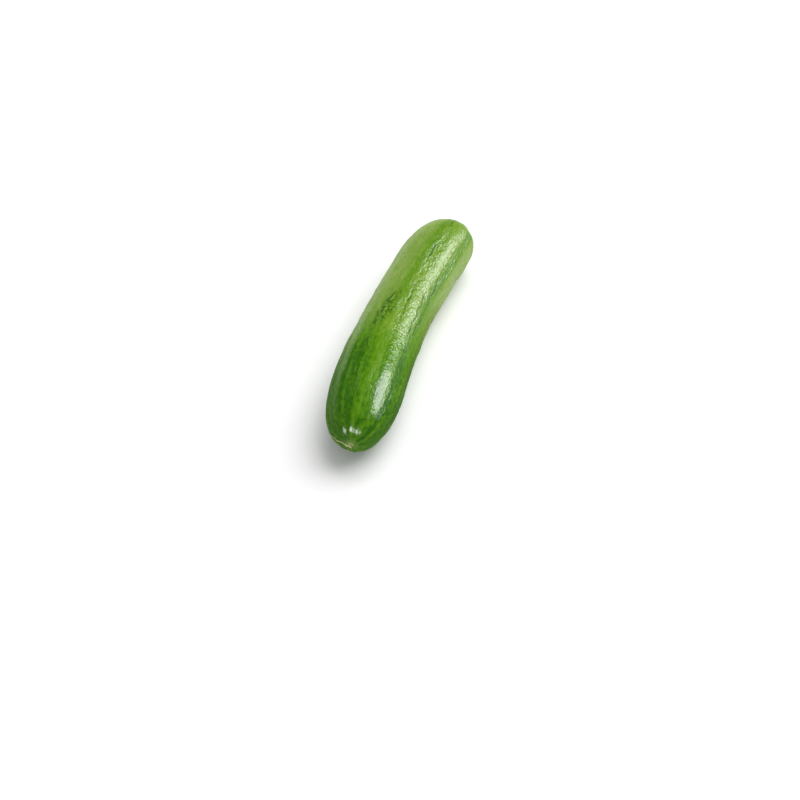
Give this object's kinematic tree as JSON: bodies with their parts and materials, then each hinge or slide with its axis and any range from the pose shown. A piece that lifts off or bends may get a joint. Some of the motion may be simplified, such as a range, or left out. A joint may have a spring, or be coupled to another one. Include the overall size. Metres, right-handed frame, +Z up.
{
  "type": "small smooth cucumber",
  "caption": "Small smooth-skinned cucumber, slightly bent, blunt at both ends, lying on its side on a narrow flat spot.",
  "frame": {"origin": "centre of the bounding box in X and Y, at the flat spot on the underside", "axes": "+X along the fruit towards the blossom end, +Y towards the hollow side of the bend, +Z up"},
  "size_m": [0.161, 0.0374, 0.0344],
  "materials": {
    "skin": "waxy green skin, satin to glossy, with fine wrinkles",
    "stem_cork": "dry tan cork of the stem scar, matt and fibrous",
    "dry_flower": "dry straw-coloured thread of the fallen flower, matt"
  },
  "bodies": {
    "root": {"cucumber": "skin"}
  },
  "joints": []
}
